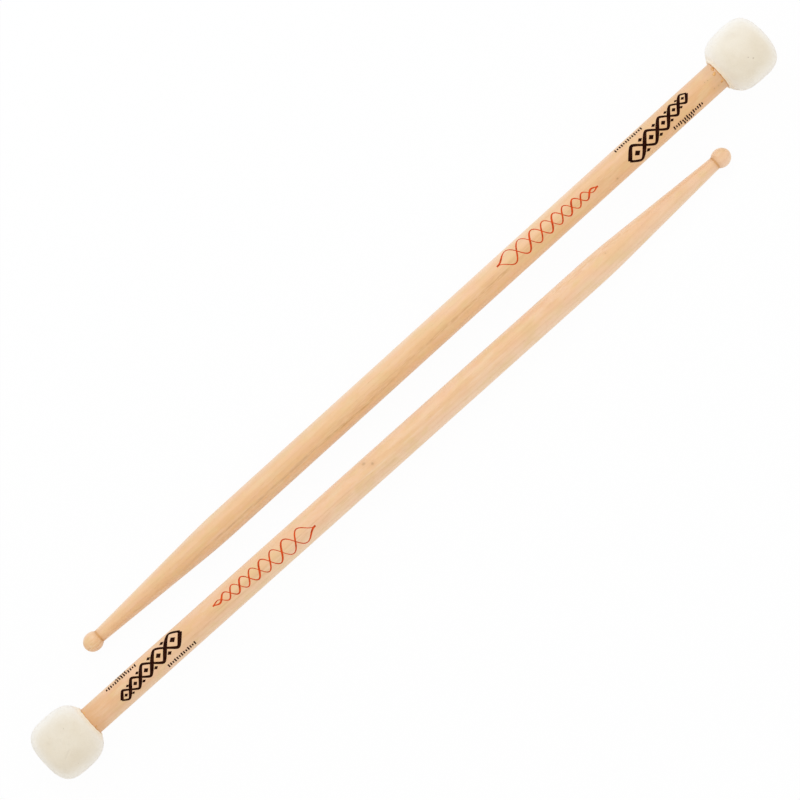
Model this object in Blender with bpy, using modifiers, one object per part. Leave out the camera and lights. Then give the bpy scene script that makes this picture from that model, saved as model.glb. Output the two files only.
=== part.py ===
"""A pair of mallet drumsticks, lying side by side and head to tail.

Each stick is a one-piece turned shaft with a bead tip at one end, and at its butt a mallet head: a turned core on
a tenon, a felt liner, and a felt cover whose rolled hem is drawn in round the shaft by a thread. Every piece of a
stick is modelled about its own Z axis, which runs from the bead tip at 0 to the crown of the head. A stick's empty
then lays that axis down, so that the stick rests on the ground as it would by itself.
"""
import math

import bmesh
import bpy
import numpy as np
from mathutils import Matrix

# Shaft
STICK_LENGTH = 0.419
BEAD_DIAMETER = 0.0091
BEAD_LENGTH = 0.0099
NECK_DIAMETER = 0.00635
NECK_LAND = 0.0005
SHOULDER_DIAMETER = 0.0136
SHOULDER_FROM_TIP = 0.0775
SHOULDER_BLEND = 0.010
BUTT_DIAMETER = 0.0137
SEAT_CHAMFER = 0.0003
TENON_DIAMETER = 0.0095
TENON_LENGTH = 0.0145
TENON_CHAMFER = 0.0006

# Mallet head
HEAD_DIAMETER = 0.0300
BELLY_TO_CROWN = 0.0130
BELLY_TO_BASE = 0.0152
CROWN_SQUARENESS = 3.3
BASE_SQUARENESS = 2.95
COVER_THICKNESS = 0.0020
LINER_THICKNESS = 0.0020
CORE_LAND = 0.0002
BORE_CHAMFER = 0.0005

# Rolled hem of the cover, with its draw thread
THREAD_DIAMETER = 0.0006
THREAD_FROM_BORE = 0.00045
HEM_WALL = 0.00075
HEM_STAND = 0.00035
PLEATS = 12
PLEAT_DEPTH = 0.00012
PLEAT_REACH = 0.0050

# Fits: the glue line between two pieces, the play round the thread, and how far the felt settles on the ground
GLUE_GAP = 0.0003
THREAD_PLAY = 0.0003
FELT_SETTLES = 0.0002

# Lie of the pair
STICK_SPACING = 0.0280
STICK_STAGGER = 0.0466

# Steps round and along the turned shapes
SHAFT_STEPS = 36
HEAD_STEPS = 28
STEPS_PER_PLEAT = 4
BEAD_STEPS = 9
SHOULDER_STEPS = 4
CROWN_STEPS = 8
BASE_STEPS = 7
INNER_STEPS = 4
HEM_STEPS = 4
GROOVE_STEPS = 6
THREAD_STEPS = 6
SETTLING_ROUNDS = 12
MERGE = 0.00001

SHAFT_RADIUS_AT_HEAD = BUTT_DIAMETER / 2
HEAD_RADIUS = HEAD_DIAMETER / 2
BELLY_FROM_TIP = STICK_LENGTH - BELLY_TO_CROWN
HEAD_BORE = SHAFT_RADIUS_AT_HEAD + GLUE_GAP


def clear_scene():
    """Removes every object that the scene holds."""
    for thing in list(bpy.data.objects):
        bpy.data.objects.remove(thing, do_unlink=True)


def make_collection(name):
    collection = bpy.data.collections.new(name)
    bpy.context.scene.collection.children.link(collection)
    return collection


def make_material(name, colour, roughness, metallic=0.0):
    material = bpy.data.materials.new(name)
    material.use_nodes = True
    shader = material.node_tree.nodes["Principled BSDF"]
    shader.inputs["Base Color"].default_value = (*colour, 1.0)
    shader.inputs["Roughness"].default_value = roughness
    shader.inputs["Metallic"].default_value = metallic
    material.diffuse_color = (*colour, 1.0)
    return material


def barrel_radius(along, inset):
    """Radius of the head's barrel at a distance from its belly, positive towards the crown, set in by inset.

    The outline is a squarish oval: its two halves share one radius, and each has its own length and squareness.
    """
    half = np.where(along > 0, BELLY_TO_CROWN, BELLY_TO_BASE) - inset
    squareness = np.where(along > 0, CROWN_SQUARENESS, BASE_SQUARENESS)
    share = np.clip(np.abs(along) / half, 0, 1)
    return (HEAD_RADIUS - inset) * (1 - share ** squareness) ** (1 / squareness)


def barrel_depth(radius, inset):
    """Distance from the belly back to the base where the barrel, set in by inset, has this radius."""
    share = radius / (HEAD_RADIUS - inset)
    return (BELLY_TO_BASE - inset) * (1 - share ** BASE_SQUARENESS) ** (1 / BASE_SQUARENESS)


def barrel_outline(inset, bore, crown_steps, base_steps):
    """Points (radius, place on the stick) of the barrel from its crown to where it meets a bore round the shaft."""
    turn = np.linspace(0, math.pi / 2, crown_steps + 1)
    crown = (BELLY_TO_CROWN - inset) * np.cos(turn) ** (2 / CROWN_SQUARENESS)
    last = math.asin((barrel_depth(bore, inset) / (BELLY_TO_BASE - inset)) ** (BASE_SQUARENESS / 2))
    turn = np.linspace(0, last, base_steps + 1)[1:]
    base = -(BELLY_TO_BASE - inset) * np.sin(turn) ** (2 / BASE_SQUARENESS)
    along = np.concatenate([crown, base])
    radius = barrel_radius(along, inset)
    radius[0] = 0.0
    return np.stack([radius, BELLY_FROM_TIP + along], axis=1)


COVER_INNER_INSET = COVER_THICKNESS
LINER_OUTER_INSET = COVER_INNER_INSET + GLUE_GAP
LINER_INNER_INSET = LINER_OUTER_INSET + LINER_THICKNESS
CORE_INSET = LINER_INNER_INSET + GLUE_GAP
CORE_SEAT_RADIUS = SHAFT_RADIUS_AT_HEAD + CORE_LAND
CORE_BASE = BELLY_FROM_TIP - barrel_depth(CORE_SEAT_RADIUS, CORE_INSET)
SEAT_FROM_TIP = CORE_BASE - GLUE_GAP
TENON_END = SEAT_FROM_TIP + TENON_LENGTH


def shaft_outline():
    """Profile of the shaft, from the end of the tenon down to the bead tip."""
    tenon, seat, neck = TENON_DIAMETER / 2, SHAFT_RADIUS_AT_HEAD, NECK_DIAMETER / 2
    shoulder = SHOULDER_DIAMETER / 2
    half_length, half_width = BEAD_LENGTH / 2, BEAD_DIAMETER / 2

    butt = [
        (0, TENON_END),
        (tenon - TENON_CHAMFER, TENON_END),
        (tenon, TENON_END - TENON_CHAMFER),
        (tenon, SEAT_FROM_TIP),
        (seat - SEAT_CHAMFER, SEAT_FROM_TIP),
        (seat, SEAT_FROM_TIP - SEAT_CHAMFER),
    ]

    bead_back = half_length + half_length * math.sqrt(1 - (neck / half_width) ** 2)
    neck_from_tip = bead_back + NECK_LAND
    shaft_slope = (seat - shoulder) / (SEAT_FROM_TIP - SHOULDER_FROM_TIP)
    taper_slope = (shoulder - neck) / (SHOULDER_FROM_TIP - neck_from_tip)
    # The shoulder is a parabola that leaves the shaft and joins the taper without a ridge
    across = np.linspace(SHOULDER_BLEND, -SHOULDER_BLEND, SHOULDER_STEPS + 1)
    drop = (taper_slope - shaft_slope) * (SHOULDER_BLEND - across) ** 2 / (4 * SHOULDER_BLEND)
    blend = np.stack([shoulder + shaft_slope * across - drop, SHOULDER_FROM_TIP + across], axis=1)

    # Past the neck the bead is an oval: its points run from the neck's land round to the tip
    turn = np.linspace(math.pi - math.asin(neck / half_width), 0, BEAD_STEPS + 1)
    bead = np.stack([half_width * np.sin(turn), half_length * (1 - np.cos(turn))], axis=1)
    bead[-1] = (0, 0)
    return [*butt, *blend, (neck, neck_from_tip), *bead]


def core_outline():
    """Profile of the core: its barrel, its flat seat on the shaft, and the blind bore that takes the tenon."""
    bore = TENON_DIAMETER / 2 + GLUE_GAP
    barrel = barrel_outline(CORE_INSET, CORE_SEAT_RADIUS, INNER_STEPS, INNER_STEPS)
    socket = [
        (bore + BORE_CHAMFER, CORE_BASE),
        (bore, CORE_BASE + BORE_CHAMFER),
        (bore, TENON_END + GLUE_GAP),
        (0, TENON_END + GLUE_GAP),
    ]
    return [*barrel, *socket]


def liner_outline():
    """Profile of the liner, a felt cup that wraps the core and stops at the shaft."""
    outside = barrel_outline(LINER_OUTER_INSET, HEAD_BORE, INNER_STEPS + 1, INNER_STEPS + 1)
    inside = barrel_outline(LINER_INNER_INSET, HEAD_BORE, INNER_STEPS, INNER_STEPS)
    return [*outside, *inside[::-1]]


THREAD_RADIUS = THREAD_DIAMETER / 2
GROOVE_RADIUS = THREAD_RADIUS + THREAD_PLAY
HEM_RADIUS = GROOVE_RADIUS + HEM_WALL
THREAD_RING = HEAD_BORE + THREAD_FROM_BORE
HEM_FROM_TIP = BELLY_FROM_TIP - barrel_depth(THREAD_RING, 0) - HEM_STAND + HEM_RADIUS


def cover_outline():
    """Profile of the cover as (radius, place, pleating), from its crown round the hem and back inside to its crown.

    The rolled hem is a circle round the draw thread. It shows where it reaches further out than the barrel does.
    """
    ring, hem = THREAD_RING, HEM_RADIUS
    outside = barrel_outline(0, ring + hem, CROWN_STEPS, BASE_STEPS)

    radius = ring + hem * np.cos(np.linspace(0, math.pi / 2, HEM_STEPS + 1))[1:]
    roll = HEM_FROM_TIP - np.sqrt(hem ** 2 - (radius - ring) ** 2)
    barrel = BELLY_FROM_TIP - barrel_depth(radius, 0)
    lip = np.stack([radius, np.minimum(roll, barrel)], axis=1)

    mouth = hem * math.sin(math.acos(THREAD_FROM_BORE / hem))
    wall = [(HEAD_BORE, HEM_FROM_TIP - mouth)]

    # The groove opens on the bore and goes round the thread
    half_open = math.acos(THREAD_FROM_BORE / GROOVE_RADIUS)
    turn = np.linspace(-math.pi + half_open, math.pi - half_open, GROOVE_STEPS + 1)
    groove = np.stack([ring + GROOVE_RADIUS * np.cos(turn), HEM_FROM_TIP + GROOVE_RADIUS * np.sin(turn)], axis=1)

    inside = barrel_outline(COVER_INNER_INSET, HEAD_BORE, INNER_STEPS + 1, INNER_STEPS + 1)[::-1]
    points = np.concatenate([outside, lip, wall, groove, inside])
    seen = len(outside) + len(lip) + len(wall)
    near = np.clip(1 - (points[:, 0] - HEAD_BORE) / PLEAT_REACH, 0, 1)
    near[(points[:, 1] > BELLY_FROM_TIP) | (np.arange(len(points)) >= seen)] = 0
    return points, near ** 2 * (3 - 2 * near)


def turned(name, outline, steps):
    """A piece turned about Z from an outline of (radius, place) that runs down its outer side."""
    mesh = bpy.data.meshes.new(name)
    points = [(radius, 0, place) for radius, place in outline]
    mesh.from_pydata(points, [(i, i + 1) for i in range(len(points) - 1)], [])
    piece = bpy.data.objects.new(name, mesh)
    screw = piece.modifiers.new("turn", "SCREW")
    screw.steps = steps
    screw.render_steps = steps
    screw.use_merge_vertices = True
    screw.merge_threshold = MERGE
    screw.use_smooth_shade = True
    return piece


def pleated_cover(name):
    """The cover, lofted from a smooth round crown to a pleated hem.

    A ring of points stands at each point of the outline. The pleats push the rings near the hem in towards the
    belly, most at the bore and not at all past the pleats' reach, by a cosine wave round the shaft.
    """
    outline, pleating = cover_outline()
    steps = PLEATS * STEPS_PER_PLEAT
    angle = np.arange(steps) * 2 * math.pi / steps
    wave = (1 - np.cos(PLEATS * angle)) / 2
    rings = outline[1:-1]
    radius = np.repeat(rings[:, 0:1], steps, axis=1)
    place = rings[:, 1:2] + PLEAT_DEPTH * pleating[1:-1, None] * wave[None, :]
    grid = np.stack([radius * np.cos(angle), radius * np.sin(angle), place], axis=2)

    builder = bmesh.new()
    rows = [[builder.verts.new(point) for point in ring] for ring in grid]
    outer_pole = builder.verts.new((0, 0, outline[0, 1]))
    inner_pole = builder.verts.new((0, 0, outline[-1, 1]))
    for k in range(steps):
        after = (k + 1) % steps
        builder.faces.new((outer_pole, rows[0][k], rows[0][after]))
        builder.faces.new((inner_pole, rows[-1][after], rows[-1][k]))
        for upper, lower in zip(rows, rows[1:]):
            builder.faces.new((upper[k], lower[k], lower[after], upper[after]))
    bmesh.ops.recalc_face_normals(builder, faces=builder.faces)
    mesh = bpy.data.meshes.new(name)
    builder.to_mesh(mesh)
    builder.free()
    mesh.shade_smooth()
    return bpy.data.objects.new(name, mesh)


def thread_ring(name):
    """The draw thread, pulled tight into a ring inside the hem."""
    bpy.ops.mesh.primitive_torus_add(
        major_radius=THREAD_RING,
        minor_radius=THREAD_RADIUS,
        major_segments=HEAD_STEPS,
        minor_segments=THREAD_STEPS,
        location=(0, 0, 0),
    )
    ring = bpy.context.active_object
    ring.name = name
    ring.data.name = name
    ring.data.transform(Matrix.Translation((0, 0, HEM_FROM_TIP)))
    ring.data.shade_smooth()
    for home in list(ring.users_collection):
        home.objects.unlink(ring)
    return ring


def ground_block(cutters):
    """A block whose top is the ground: it presses a small flat under the belly of each cover."""
    bpy.ops.mesh.primitive_cube_add(size=1, location=(0, 0, 0))
    block = bpy.context.active_object
    block.name = "ground"
    for home in list(block.users_collection):
        home.objects.unlink(block)
    cutters.objects.link(block)
    length, width, height = 2 * STICK_LENGTH, 2 * STICK_SPACING + 2 * HEAD_DIAMETER, HEAD_DIAMETER
    block.data.transform(Matrix.Diagonal((length, width, height, 1)))
    block.location = (0, 0, -height / 2)
    block.hide_render = True
    block.display_type = "WIRE"
    return block


def rest_on_ground():
    """The tilt of a stick at rest and the height of its tip's centre, found by turning the stick until it sits.

    The felt head is thicker than the shaft, so the stick leans on the belly of its head and on the shaft's shoulder.
    """
    outline = np.array(shaft_outline())
    tilt = 0.0
    for _ in range(SETTLING_ROUNDS):
        tip_height = (outline[:, 0] * math.cos(tilt) - outline[:, 1] * math.sin(tilt)).max()
        rise = HEAD_RADIUS * math.cos(tilt) - FELT_SETTLES - tip_height
        tilt = math.asin(rise / BELLY_FROM_TIP)
    return tilt, tip_height


def lay_down(name, turn, collection):
    """An empty that carries one stick: its Z runs along the stick, from the tip up to the head."""
    tilt, tip_height = rest_on_ground()
    along = Matrix.Rotation(math.pi / 2 - tilt, 4, "Y")
    middle = STICK_LENGTH / 2 * math.cos(tilt)
    start = Matrix.Translation((STICK_STAGGER / 2 - middle, STICK_SPACING / 2, tip_height))

    carrier = bpy.data.objects.new(name, None)
    carrier.empty_display_size = HEAD_DIAMETER
    carrier.matrix_world = Matrix.Rotation(turn, 4, "Z") @ start @ along
    collection.objects.link(carrier)
    return carrier


def add_piece(piece, carrier, material, collection):
    collection.objects.link(piece)
    piece.data.materials.clear()
    piece.data.materials.append(material)
    piece.parent = carrier


def build():
    clear_scene()
    pair = make_collection("mallet_drumsticks")
    cutters = make_collection("cutters")
    hickory = make_material("hickory", (0.86, 0.68, 0.46), 0.42)
    maple = make_material("maple", (0.80, 0.66, 0.48), 0.60)
    liner_felt = make_material("liner_felt", (0.62, 0.60, 0.55), 0.95)
    cover_felt = make_material("cover_felt", (0.86, 0.83, 0.75), 0.95)
    waxed_thread = make_material("waxed_thread", (0.78, 0.72, 0.58), 0.70)
    ground = ground_block(cutters)

    for number, turn in ((1, 0.0), (2, math.pi)):
        carrier = lay_down(f"stick_{number}", turn, pair)
        add_piece(turned(f"shaft_{number}", shaft_outline(), SHAFT_STEPS), carrier, hickory, pair)
        add_piece(turned(f"head_core_{number}", core_outline(), HEAD_STEPS), carrier, maple, pair)
        add_piece(turned(f"felt_liner_{number}", liner_outline(), HEAD_STEPS), carrier, liner_felt, pair)
        add_piece(thread_ring(f"draw_thread_{number}"), carrier, waxed_thread, pair)
        cover = pleated_cover(f"felt_cover_{number}")
        add_piece(cover, carrier, cover_felt, pair)
        press = cover.modifiers.new("settled_flat", "BOOLEAN")
        press.operation = "DIFFERENCE"
        press.solver = "EXACT"
        press.object = ground


build()
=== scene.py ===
"""The finish of a pair of mallet drumsticks: turned hickory, felt heads, printed bands and dried glue.

Every shape is worked out in a stick's own measure: how far a point is out from the stick's axis, how far it
is turned from the top of the lying stick, and how far it is along the stick from the bead tip.
"""

import math

import bpy
import numpy as np
from mathutils import Matrix, Vector


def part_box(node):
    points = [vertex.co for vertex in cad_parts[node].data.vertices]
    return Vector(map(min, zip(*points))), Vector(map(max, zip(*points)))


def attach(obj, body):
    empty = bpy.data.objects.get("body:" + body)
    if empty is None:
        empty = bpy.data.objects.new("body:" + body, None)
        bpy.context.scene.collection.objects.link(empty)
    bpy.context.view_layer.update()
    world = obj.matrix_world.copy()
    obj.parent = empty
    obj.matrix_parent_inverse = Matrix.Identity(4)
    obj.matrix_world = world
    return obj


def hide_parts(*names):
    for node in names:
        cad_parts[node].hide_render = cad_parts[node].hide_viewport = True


MM = 0.001

# Whole stick, and the gap that stands for the glue between its pieces
STICK_LENGTH = 419.0 * MM
GLUE_GAP = 0.3 * MM

# Shaft
BEAD_DIAMETER = 9.1 * MM
BEAD_LENGTH = 9.9 * MM
NECK_DIAMETER = 6.35 * MM
NECK_LAND = 0.5 * MM
SHOULDER_DIAMETER = 13.6 * MM
SHOULDER_FROM_TIP = 77.5 * MM
SHOULDER_BLEND = 10.0 * MM
BUTT_DIAMETER = 13.7 * MM
SEAT_CHAMFER = 0.3 * MM
SEAT_FROM_TIP = 396.388 * MM
TENON_DIAMETER = 9.5 * MM
TENON_LENGTH = 14.5 * MM
TENON_CHAMFER = 0.6 * MM
# Where the bead's back meets the neck: an oval's half length, and as far again as it reaches at the neck
BEAD_BACK = BEAD_LENGTH / 2 * (1 + math.sqrt(1 - (NECK_DIAMETER / BEAD_DIAMETER) ** 2))

# Mallet head
HEAD_DIAMETER = 30.0 * MM
BELLY_TO_CROWN = 13.0 * MM
BELLY_TO_BASE = 15.2 * MM
BELLY_FROM_TIP = STICK_LENGTH - BELLY_TO_CROWN
CROWN_SQUARENESS = 3.3
BASE_SQUARENESS = 2.95
COVER_THICKNESS = 2.0 * MM
HEAD_BORE = BUTT_DIAMETER / 2 + GLUE_GAP

# Rolled hem, with the groove for the draw thread in it
THREAD_FROM_BORE = 0.45 * MM
THREAD_RING = HEAD_BORE + THREAD_FROM_BORE
THREAD_GROOVE = 0.6 * MM
HEM_WALL = 0.75 * MM
HEM_ROLL = THREAD_GROOVE + HEM_WALL
HEM_STAND = 0.35 * MM
PLEATS = 12
PLEAT_DEPTH = 0.12 * MM
PLEAT_REACH = 5.0 * MM


def barrel_depth(out):
    """How far the head's barrel reaches back from its belly where it has this radius."""
    share = out / (HEAD_DIAMETER / 2)
    return BELLY_TO_BASE * (1 - share ** BASE_SQUARENESS) ** (1 / BASE_SQUARENESS)


HEM_MIDDLE = BELLY_FROM_TIP - barrel_depth(THREAD_RING) - HEM_STAND + HEM_ROLL
HEM_EDGE = HEM_MIDDLE - HEM_ROLL


class Stick:
    """Where one stick lies: its tip, the way it runs, the way up across it and the way out to its side."""

    def __init__(self, number):
        self.number = number
        self.body = f"stick_{number}"
        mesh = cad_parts[f"shaft_{number}"].data
        points = np.zeros(len(mesh.vertices) * 3, np.float32)
        mesh.vertices.foreach_get("co", points)
        # The node's mesh is loose triangles, so each of its points is taken once
        points = np.unique(points.reshape(-1, 3).round(7), axis=0).astype(float)
        middle = points.mean(axis=0)
        along = np.linalg.svd(points - middle, full_matrices=False)[2][0]
        head = np.mean([tuple(corner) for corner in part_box(f"felt_cover_{number}")], axis=0)
        self.along = along * np.sign(along @ (head - middle))
        self.tip = middle + self.along * ((points - middle) @ self.along).min()
        up = np.array([0.0, 0.0, 1.0])
        self.up = unit(up - self.along * (up @ self.along))
        self.side = np.cross(self.up, self.along)

    def place(self, out, turned, along):
        """Points of the frame: tip + along the stick + out from its axis, turned from the top."""
        measures = np.broadcast_arrays(out, turned, along)
        out, turned, along = (np.asarray(measure, float)[..., None] for measure in measures)
        across = np.cos(turned) * self.up + np.sin(turned) * self.side
        return self.tip + along * self.along + out * across

    def turn(self):
        """The stick's own axes as an Euler turn: X out to its side, Y up, Z along it."""
        return Matrix([self.side, self.up, self.along]).transposed().to_euler()


# Meshes

def unit(vectors):
    """Vectors of the same directions, each one long."""
    return vectors / np.linalg.norm(vectors, axis=-1, keepdims=True)


def round_turn(count):
    """So many even places round a full turn."""
    return np.linspace(0, 2 * math.pi, count, endpoint=False)


def eased(share):
    """A share of 0 to 1 that sets off and arrives smoothly: 3 s^2 - 2 s^3."""
    return share * share * (3 - 2 * share)


def even(outline, step):
    """An outline's points set again at one even step along its length."""
    run = np.concatenate([[0], np.cumsum(np.linalg.norm(np.diff(outline, axis=0), axis=1))])
    at = np.linspace(0, run[-1], max(2, round(run[-1] / step) + 1))
    return np.stack([np.interp(at, run, column) for column in outline.T], axis=1)


def added(name, data):
    """A new object of the scene, at the origin."""
    made = bpy.data.objects.new(name, data)
    bpy.context.scene.collection.objects.link(made)
    return made


def piece(name, skin, finish, stick):
    """One of a stick's pieces, a mesh from whole arrays of points and faces. Where its volume, the sum of
    the tetrahedra from its middle to each face, comes out negative, its faces are turned round."""
    name = f"{name}_{stick.number}"
    points, quads, triangles = skin
    halves = np.concatenate([triangles, quads[:, [0, 1, 2]], quads[:, [0, 2, 3]]])
    centred = points - points.mean(axis=0)
    first, second, third = (centred[halves[:, corner]] for corner in range(3))
    if np.einsum("ij,ij->", first, np.cross(second, third)) < 0:
        quads, triangles = quads[:, ::-1], triangles[:, ::-1]
    mesh = bpy.data.meshes.new(name)
    mesh.from_pydata(points, [], [*quads.tolist(), *triangles.tolist()])
    mesh.validate()
    mesh.shade_smooth()
    mesh.materials.append(finish)
    made = added(name, mesh)
    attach(made, stick.body)
    return made


def round_faces(rings, around):
    """Quads between neighbouring rings of points that close on themselves."""
    ring, step = np.meshgrid(np.arange(rings - 1), np.arange(around), indexing="ij")
    here, above = ring * around, (ring + 1) * around
    after = (step + 1) % around
    return np.stack([here + step, here + after, above + after, above + step], axis=-1).reshape(-1, 4)


def pole_faces(rings, around):
    """Triangles from a pole before the first ring and from one after the last, whose numbers come last."""
    step = np.arange(around)
    after = (step + 1) % around
    last = (rings - 1) * around
    pole = rings * around
    opening = np.stack([np.full(around, pole), after, step], axis=1)
    closing = np.stack([np.full(around, pole + 1), last + step, last + after], axis=1)
    return np.concatenate([opening, closing])


def closed_skin(rings, poles):
    """A closed skin through rings of points, an array (rings, around, 3), and two poles."""
    count, around = rings.shape[:2]
    points = np.concatenate([rings.reshape(-1, 3), poles])
    return points, round_faces(count, around), pole_faces(count, around)


def closed_loop(rings):
    """A closed skin through rings of points that stand round a loop."""
    count, around = rings.shape[:2]
    quads = round_faces(count + 1, around) % (count * around)
    return rings.reshape(-1, 3), quads, NO_TRIANGLES


def joined(skins):
    """Several skins' points and faces as one."""
    firsts = np.cumsum([0, *[len(points) for points, _, _ in skins]])
    points, quads, triangles = zip(*skins)
    quads = [faces + first for faces, first in zip(quads, firsts)]
    triangles = [faces + first for faces, first in zip(triangles, firsts)]
    return np.concatenate(points), np.concatenate(quads), np.concatenate(triangles)


def waves(points, seed, shortest, longest, count):
    """A smooth uneven field over points, about -1 to 1: so many plane waves, in random directions and of
    lengths from shortest to longest, added up."""
    chance = np.random.default_rng(seed)
    ways = unit(chance.normal(size=(count, 3)))
    lengths = shortest * (longest / shortest) ** chance.random(count)
    phases = chance.random(count) * 2 * math.pi
    total = np.zeros(points.shape[:-1])
    for way, length, phase in zip(ways, lengths, phases):
        total += np.cos(points @ way * (2 * math.pi / length) + phase)
    return total * math.sqrt(2 / count) / 2


NO_TRIANGLES = np.zeros((0, 3), int)


# Shaders

def math_node(operation, swapped=False):
    """A method that adds a Math node on the value itself and what else it takes, or on both swapped."""
    def work(value, *others):
        terms = (*others, value) if swapped else (value, *others)
        return value.finish.add("Math", {"operation": operation}, dict(enumerate(terms)))
    return work


class Value:
    """A number that varies over a surface. Arithmetic on it adds Math nodes to its finish."""

    def __init__(self, finish, socket):
        self.finish = finish
        self.socket = socket

    __add__ = math_node("ADD")
    __radd__ = math_node("ADD", swapped=True)
    __sub__ = math_node("SUBTRACT")
    __rsub__ = math_node("SUBTRACT", swapped=True)
    __mul__ = math_node("MULTIPLY")
    __rmul__ = math_node("MULTIPLY", swapped=True)
    __truediv__ = math_node("DIVIDE")
    __pow__ = math_node("POWER")
    __abs__ = math_node("ABSOLUTE")
    root = math_node("SQRT")
    wave = math_node("SINE")
    atan2 = math_node("ARCTAN2")
    # The greater of two values
    most = math_node("MAXIMUM")
    # What comes after the point, from 0 to 1
    part = math_node("FRACT")

    def step(self, low, high):
        """0 below low, 1 above high, and a smooth rise between. With low above high, it falls instead."""
        settings = {"interpolation_type": "SMOOTHSTEP", "clamp": True}
        first, last = (0.0, 1.0) if low <= high else (1.0, 0.0)
        sockets = {0: self, 1: min(low, high), 2: max(low, high), 3: first, 4: last}
        return self.finish.add("MapRange", settings, sockets)


class Finish:
    """A surface's node material. Its constants sit on the shader's own sockets."""

    def __init__(self, name, **constants):
        self.material = bpy.data.materials.new(name)
        self.material.use_nodes = True
        self.tree = self.material.node_tree
        self.shader = self.tree.nodes["Principled BSDF"]
        self.colour = WHITE
        for socket, value in constants.items():
            self.shader.inputs[socket.replace("_", " ")].default_value = value

    def put(self, socket, value):
        """Sets a socket to a value, or links it to one that varies."""
        if isinstance(value, Value):
            self.tree.links.new(value.socket, socket)
        else:
            socket.default_value = value

    def add(self, kind, settings, sockets, output=0):
        """Adds a node: its type, its settings, what its sockets take, and the output that goes on."""
        node = self.tree.nodes.new(f"ShaderNode{kind}")
        for setting, value in settings.items():
            setattr(node, setting, value)
        for socket, value in sockets.items():
            self.put(node.inputs[socket], value)
        return Value(self, node.outputs[output])

    def vector(self, x, y, z):
        return self.add("CombineXYZ", {}, {0: x, 1: y, 2: z})

    def noise(self, place, scale, detail=2.0, rough=0.5, twist=0.0):
        """Cloudy noise, 0 to 1, about as fine as 1 / scale."""
        sockets = {"Vector": place, "Scale": scale, "Detail": detail, "Roughness": rough}
        return self.add("TexNoise", {}, {**sockets, "Distortion": twist}, "Fac")

    def slant(self):
        """0 where the surface is seen square on, 1 at its edge."""
        return self.add("LayerWeight", {}, {"Blend": 0.5}, "Facing")

    def mix(self, share, first, second):
        """Goes from the first colour to the second by the share."""
        settings = {"data_type": "RGBA", "blend_type": "MIX", "clamp_factor": True}
        return self.add("Mix", settings, {0: share, 6: first, 7: second}, 2)

    def tint(self, share, colour):
        """Takes the finish's colour so far to another one by the share."""
        self.colour = self.mix(share, self.colour, colour)

    def shade(self, amount):
        """Makes the finish's colour so far lighter or darker by an amount about 1."""
        sockets = {0: self.colour, 1: self.vector(amount, amount, amount)}
        self.colour = self.add("VectorMath", {"operation": "MULTIPLY"}, sockets)

    def relief(self, height, depth, strength, under=None):
        """A bump whose height of 1 stands depth high, on top of another where one lies under it."""
        sockets = {"Height": height, "Distance": depth, "Strength": strength}
        if under:
            sockets["Normal"] = under
        return self.add("Bump", {}, sockets)

    def wear(self, **links):
        """Links the colour and what else varies to the shader, and gives the material."""
        for socket, value in {"Base_Color": self.colour, **links}.items():
            self.put(self.shader.inputs[socket.replace("_", " ")], value)
        return self.material


class StickFinish(Finish):
    """A finish of one stick. It has the place on the stick in millimetres, whole and as x out to its side,
    y up and z along it from the tip."""

    def __init__(self, name, stick, **constants):
        super().__init__(f"{name}_{stick.number}", **constants)
        here = self.add("TexCoord", {}, {}, "Object")
        origin = {"Location": tuple(stick.tip), "Rotation": stick.turn(), "Scale": (MM, MM, MM)}
        self.place = self.add("Mapping", {"vector_type": "TEXTURE"}, {"Vector": here, **origin})
        self.parts = [self.add("SeparateXYZ", {}, {0: self.place}, axis) for axis in range(3)]

    def mottle(self, scale, detail=2.0, rough=0.5, twist=0.0):
        """Noise that is as fine in every direction."""
        return self.noise(self.place, scale, detail, rough, twist)

    def streaks(self, across, along, detail=2.0, rough=0.5, shift=0.0):
        """Noise drawn out along the stick: its scale across it and its smaller one along it, read from a
        place that lies a shift further on."""
        x, y, z = self.parts
        return self.noise(self.vector(x * across, y * across, (z + shift) * along), 1.0, detail, rough)

    def off_spot(self, radius, degrees, along):
        """How many millimetres it is to a spot on a round surface of this radius in millimetres."""
        x, y, z = self.parts
        turned = math.radians(degrees)
        side, up, behind = x - radius * math.sin(turned), y - radius * math.cos(turned), z - along
        return (side * side + up * up + behind * behind).root()


def rgb(red, green, blue):
    """A colour named by its screen values, 0 to 255, as linear light."""
    shares = [value / 255 for value in (red, green, blue)]
    return (*[s / 12.92 if s <= 0.04045 else ((s + 0.055) / 1.055) ** 2.4 for s in shares], 1.0)


# Colours

WHITE = (1.0, 1.0, 1.0, 1.0)
WOOD_PEACH = rgb(239, 193, 148)
WOOD_STRAW = rgb(237, 193, 142)
WOOD_HONEY = rgb(238, 191, 141)
WOOD_AMBER = rgb(235, 189, 135)
WOOD_SAP_AND_LIGHT = rgb(242, 210, 180)
WOOD_PAINTED_SHEEN = rgb(254, 226, 194)
WOOD_OLIVE = rgb(229, 200, 142)
WOOD_ROSE = rgb(241, 190, 160)
WOOD_EARLY = rgb(216, 168, 118)
WOOD_PORE = rgb(160, 112, 70)
WOOD_KNOT = rgb(140, 108, 62)
WOOD_BURNISH_AND_SHADE = rgb(206, 150, 88)
WOOD_STREAK = rgb(188, 140, 82)
WOOD_SOAK_AND_SHADE = rgb(218, 166, 112)
WOOD_STAINED = rgb(214, 178, 140)
FELT_PALE = rgb(243, 234, 216)
FELT_CREAM = rgb(237, 226, 205)
FELT_PAINTED_SHEEN = rgb(255, 251, 243)
FELT_HEM_TINGE_AND_HIGHLIGHT = rgb(250, 230, 194)
FELT_SPECK = rgb(150, 128, 100)
LINER_GREY = rgb(190, 186, 176)
LINER_BROWN = rgb(150, 136, 118)
MAPLE_PALE = rgb(236, 214, 176)
MAPLE_LATE = rgb(214, 180, 134)
MAPLE_FLECK = rgb(196, 158, 114)
THREAD_PALE = rgb(226, 214, 184)
THREAD_FURROW_SHADE = rgb(158, 140, 104)
INK_DARK = rgb(30, 6, 2)
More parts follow.
